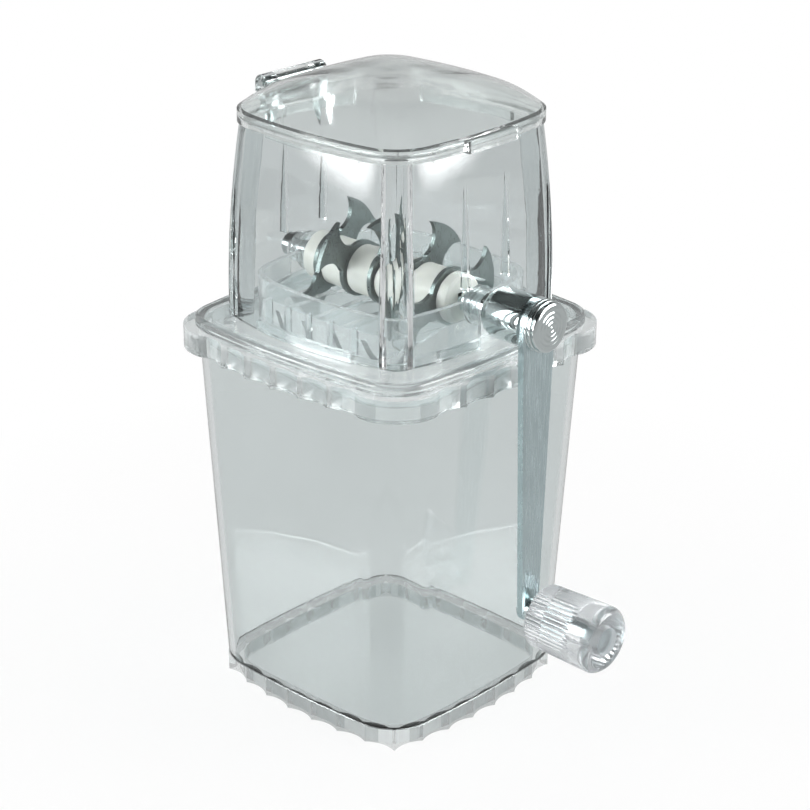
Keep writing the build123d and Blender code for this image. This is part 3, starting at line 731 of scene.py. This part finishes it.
def build_floor(studio):
    """Round pale table that shows white and keeps a soft shadow near the object."""
    around = np.arange(FLOOR_SIDES) * 2 * np.pi / FLOOR_SIDES
    rim = np.column_stack((np.cos(around), np.sin(around), np.zeros(FLOOR_SIDES)))
    mesh = bpy.data.meshes.new("floor")
    mesh.from_pydata((FLOOR_RADIUS * rim).tolist(), [], [list(range(FLOOR_SIDES))])
    floor = bpy.data.objects.new("floor", mesh)
    bpy.context.scene.collection.objects.link(floor)
    material, tree, shader, output = new_material("floor_white")
    shader.inputs["Base Color"].default_value = (0.9, 0.9, 0.9, 1)
    shader.inputs["Roughness"].default_value = 0.9
    shader.inputs["Specular IOR Level"].default_value = 0
    level, seen = backdrop_level(tree, studio.mirrored_table, studio.through_glass)
    glow = tree.nodes.new("ShaderNodeEmission")
    tree.links.new(level, glow.inputs["Strength"])
    place = tree.nodes.new("ShaderNodeTexCoord")
    away = tree.nodes.new("ShaderNodeVectorMath")
    away.operation = "LENGTH"
    tree.links.new(place.outputs["Object"], away.inputs[0])
    share = map_range(tree, away.outputs["Value"], NEAR_END, FAR_START, NEAR_GLOW)
    show_mix(
        tree, calculate(tree, "MULTIPLY", share, seen),
        shader.outputs["BSDF"], glow.outputs["Emission"], output,
    )
    mesh.materials.append(material)


def build_camera(studio):
    """Camera on its circle round the object, turned by yaw, pitch and roll."""
    around, turned = studio.azimuth, studio.azimuth + studio.yaw
    place = Vector((sin(around), -cos(around), 0)) * studio.distance
    place.z = studio.height
    forward = Vector(
        (-sin(turned) * cos(studio.pitch), cos(turned) * cos(studio.pitch), -sin(studio.pitch))
    )
    level = Vector((cos(turned), sin(turned), 0))
    upright = level.cross(forward)
    right = level * cos(studio.roll) + upright * sin(studio.roll)
    up = upright * cos(studio.roll) - level * sin(studio.roll)
    data = bpy.data.cameras.new("camera")
    data.lens = studio.lens
    data.sensor_width = 36
    data.shift_y = studio.shift
    data.clip_end = 50
    camera = bpy.data.objects.new("camera", data)
    turn = Matrix((right, up, -forward)).transposed().to_4x4()
    camera.matrix_world = Matrix.Translation(place) @ turn
    bpy.context.scene.collection.objects.link(camera)
    bpy.context.scene.camera = camera


class CRUSHER_OT_stage(bpy.types.Operator):
    """Build the floor, the studio light and the camera"""

    bl_idname = "crusher.stage"
    bl_label = "Stage"

    def execute(self, context):
        scene = context.scene
        studio = scene.crusher_studio
        scene.view_settings.view_transform = "Standard"
        scene.cycles.max_bounces = 24
        scene.cycles.transmission_bounces = 24
        scene.cycles.transparent_max_bounces = 24
        build_world(studio.fill)
        build_floor(studio)
        build_camera(studio)
        build_card("left_box", studio.left_box, -1)
        build_card("right_box", studio.right_box, 1)
        return {"FINISHED"}


# ---- Panel and registration ---------------------------------------------------------

OPERATORS = (
    CRUSHER_OT_stage,
    CRUSHER_OT_container,
    CRUSHER_OT_hopper,
    CRUSHER_OT_hood,
    CRUSHER_OT_cutters,
    CRUSHER_OT_crank,
    CRUSHER_OT_knob,
)


class CRUSHER_PT_looks(bpy.types.Panel):
    """Buttons and settings of the crusher's looks"""

    bl_idname = "CRUSHER_PT_looks"
    bl_label = "Ice Crusher"
    bl_space_type = "VIEW_3D"
    bl_region_type = "UI"
    bl_category = "Ice Crusher"

    def draw(self, context):
        for operator in OPERATORS:
            self.layout.operator(operator.bl_idname)
        for name, group in SETTINGS:
            box = self.layout.box()
            for setting in group.__annotations__:
                box.prop(getattr(context.scene, name), setting)


CLASSES = (*[group for _, group in SETTINGS], *OPERATORS, CRUSHER_PT_looks)


def register():
    """Add the classes and the scene's settings."""
    for cls in CLASSES:
        bpy.utils.register_class(cls)
    for name, group in SETTINGS:
        setattr(bpy.types.Scene, name, PointerProperty(type=group))


def unregister():
    """Take the settings and the classes away again."""
    for name, _ in SETTINGS:
        delattr(bpy.types.Scene, name)
    for cls in reversed(CLASSES):
        bpy.utils.unregister_class(cls)


def main():
    """Build everything in order."""
    register()
    for operator in OPERATORS:
        group, name = operator.bl_idname.split(".")
        getattr(getattr(bpy.ops, group), name)()


if __name__ == "__main__":
    main()
